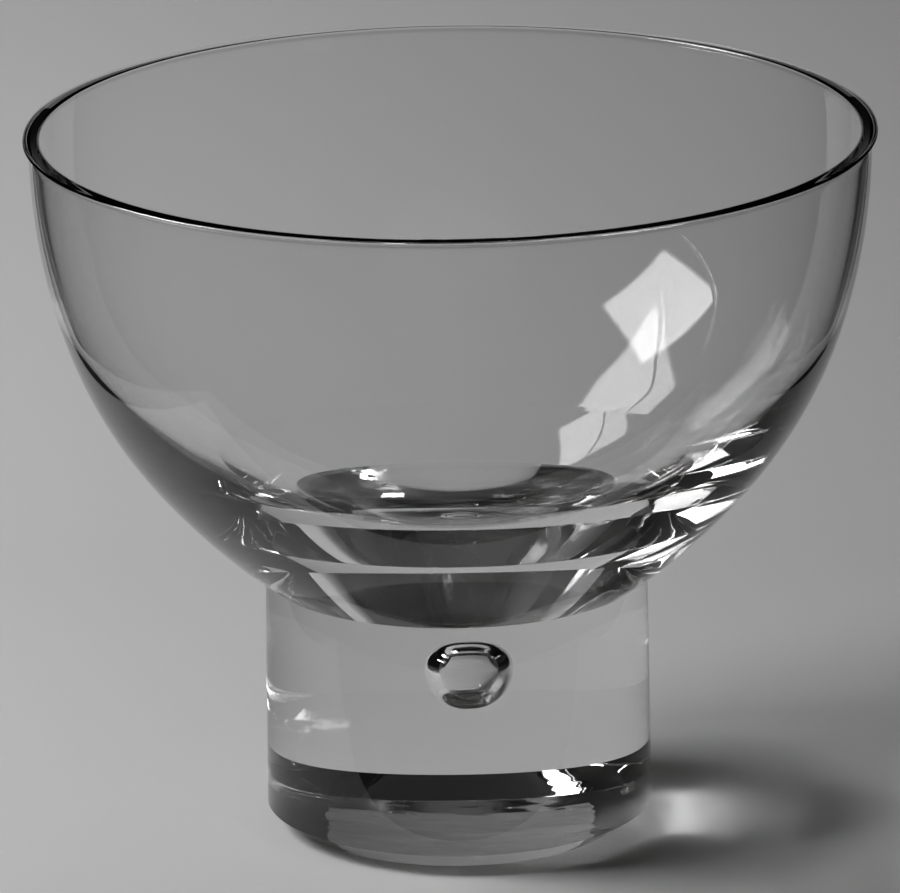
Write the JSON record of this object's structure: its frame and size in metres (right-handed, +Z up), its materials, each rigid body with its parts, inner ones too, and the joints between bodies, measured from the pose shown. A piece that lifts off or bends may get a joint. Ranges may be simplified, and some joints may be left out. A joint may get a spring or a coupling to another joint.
{
  "type": "seafood cocktail glass",
  "caption": "Footed clear glass with a wide deep bowl, a flat-cut rim and a heavy solid cylindrical base holding a trapped air bubble, for serving chilled seafood.",
  "frame": {"origin": "centre of the flat underside of the base", "axes": "+Z up along the axis of the bowl and base; +Y away from the picture's camera"},
  "size_m": [0.1202, 0.1202, 0.1016],
  "materials": {
    "clear_glass": "polished"
  },
  "bodies": {
    "root": {"bowl": "clear_glass", "base": "clear_glass"}
  },
  "joints": []
}
